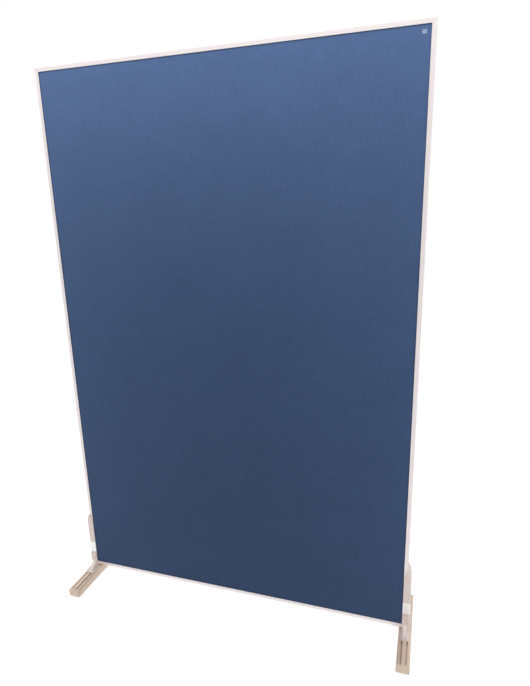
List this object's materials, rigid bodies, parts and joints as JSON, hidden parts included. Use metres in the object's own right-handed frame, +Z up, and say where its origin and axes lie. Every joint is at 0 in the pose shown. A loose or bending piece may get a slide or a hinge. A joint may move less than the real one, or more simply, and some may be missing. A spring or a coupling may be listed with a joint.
{
  "type": "acoustic divider screen",
  "caption": "Free-standing fabric-covered acoustic divider screen in a slim metal frame, held by side brackets on bar feet with levelling glides.",
  "frame": {"origin": "on the floor under the middle of the screen, with the glides screwed in", "axes": "+X along the width of the screen, +Y towards its back, +Z up; the pictured face looks along -Y"},
  "size_m": [1.242, 0.32, 1.85],
  "materials": {
    "frame": "fine matt anodised, silver",
    "steel": "zinc plated",
    "timber": "planed softwood",
    "absorber": "pressed polyester felt, no finish",
    "facing": "soft fibreboard, unfinished",
    "fabric": "plain woven polyester, matt, dark blue",
    "bracket": "die cast, satin silver powder coat",
    "collar": "bright polished, clear anodised",
    "foot": "extruded, satin champagne powder coat",
    "cap": "moulded, satin, champagne",
    "pad": "moulded nylon, natural white"
  },
  "bodies": {
    "screen": {"stile_left": "frame", "stile_right": "frame", "rail_top": "frame", "rail_bottom": "frame", "corner_cleats": "steel", "board_stile_left": "timber", "board_stile_right": "timber", "board_rail_top": "timber", "board_rail_middle": "timber", "board_rail_bottom": "timber", "absorber_upper": "absorber", "absorber_lower": "absorber", "facing_front": "facing", "facing_back": "facing", "fabric_front": "fabric", "fabric_back": "fabric", "bracket_left": "bracket", "bracket_right": "bracket", "collar_left": "collar", "collar_right": "collar", "side_screws": "steel", "shelf_screws": "steel", "foot_bolts": "steel", "foot_left": "foot", "foot_right": "foot", "end_cap_left_front": "cap", "end_cap_left_rear": "cap", "end_cap_right_front": "cap", "end_cap_right_rear": "cap", "glide_nuts": "steel"},
    "glide_base_left_front": {"glide_pad_left_front": "pad"},
    "glide_screw_left_front": {"glide_stud_left_front": "steel"},
    "glide_base_left_rear": {"glide_pad_left_rear": "pad"},
    "glide_screw_left_rear": {"glide_stud_left_rear": "steel"},
    "glide_base_right_front": {"glide_pad_right_front": "pad"},
    "glide_screw_right_front": {"glide_stud_right_front": "steel"},
    "glide_base_right_rear": {"glide_pad_right_rear": "pad"},
    "glide_screw_right_rear": {"glide_stud_right_rear": "steel"}
  },
  "joints": [
    {"name": "glide_lift_left_front", "type": "slide", "parent": "screen", "child": "glide_base_left_front", "axis": [0, 0, -1], "range_m": [0, 0.0075]},
    {"name": "glide_turn_left_front", "type": "hinge", "parent": "glide_base_left_front", "child": "glide_screw_left_front", "pos_m": [-0.6, -0.14, 0.005], "axis": [0, 0, -1], "range_deg": [0, 2160]},
    {"name": "glide_lift_left_rear", "type": "slide", "parent": "screen", "child": "glide_base_left_rear", "axis": [0, 0, -1], "range_m": [0, 0.0075]},
    {"name": "glide_turn_left_rear", "type": "hinge", "parent": "glide_base_left_rear", "child": "glide_screw_left_rear", "pos_m": [-0.6, 0.14, 0.005], "axis": [0, 0, -1], "range_deg": [0, 2160]},
    {"name": "glide_lift_right_front", "type": "slide", "parent": "screen", "child": "glide_base_right_front", "axis": [0, 0, -1], "range_m": [0, 0.0075]},
    {"name": "glide_turn_right_front", "type": "hinge", "parent": "glide_base_right_front", "child": "glide_screw_right_front", "pos_m": [0.6, -0.14, 0.005], "axis": [0, 0, -1], "range_deg": [0, 2160]},
    {"name": "glide_lift_right_rear", "type": "slide", "parent": "screen", "child": "glide_base_right_rear", "axis": [0, 0, -1], "range_m": [0, 0.0075]},
    {"name": "glide_turn_right_rear", "type": "hinge", "parent": "glide_base_right_rear", "child": "glide_screw_right_rear", "pos_m": [0.6, 0.14, 0.005], "axis": [0, 0, -1], "range_deg": [0, 2160]}
  ],
  "couplings": [
    {"joint": "glide_turn_left_front", "follows": "glide_lift_left_front", "rad_per_m": 5026.5},
    {"joint": "glide_turn_left_rear", "follows": "glide_lift_left_rear", "rad_per_m": 5026.5},
    {"joint": "glide_turn_right_front", "follows": "glide_lift_right_front", "rad_per_m": 5026.5},
    {"joint": "glide_turn_right_rear", "follows": "glide_lift_right_rear", "rad_per_m": 5026.5}
  ]
}
